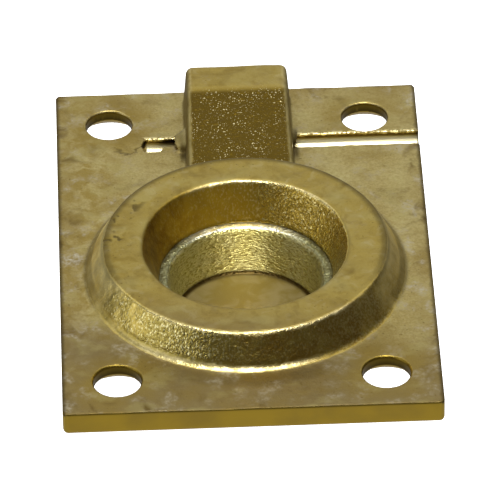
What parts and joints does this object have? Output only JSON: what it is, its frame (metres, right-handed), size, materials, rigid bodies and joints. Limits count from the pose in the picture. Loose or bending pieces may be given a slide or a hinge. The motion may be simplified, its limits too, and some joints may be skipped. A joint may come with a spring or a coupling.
{
  "type": "flush ring pull",
  "caption": "Rectangular cast brass flush ring pull with a round recess, a centre boss and a spring-returned ring, to lift a hatch or pull a small door.",
  "frame": {"origin": "under the middle of the plate, level with the top of the centre boss, which is the lowest face when the part lies on its front", "axes": "+Z out of the plate's back, +Y along the plate towards the knuckle pocket, +X along the hinge pin"},
  "size_m": [0.0446, 0.062, 0.0139],
  "materials": {
    "cast_brass": "as cast, dull, with traces of polish",
    "turned_brass": "fine turned",
    "polished_brass": "buffed",
    "pin_brass": "drawn rod",
    "spring_bronze": "hard-drawn wire"
  },
  "bodies": {
    "housing": {"housing": "cast_brass", "centre_boss": "turned_brass", "hinge_pin": "pin_brass", "torsion_spring": "spring_bronze"},
    "ring": {"pull_ring": "polished_brass"}
  },
  "joints": [
    {"name": "ring_hinge", "type": "hinge", "parent": "housing", "child": "ring", "pos_m": [0, 0.0202, 0.0082], "axis": [1, 0, 0], "range_deg": [0, 100], "stiffness_Nm_per_rad": 0.014, "springref_deg": -28.65, "deforming": ["torsion_spring"]}
  ]
}
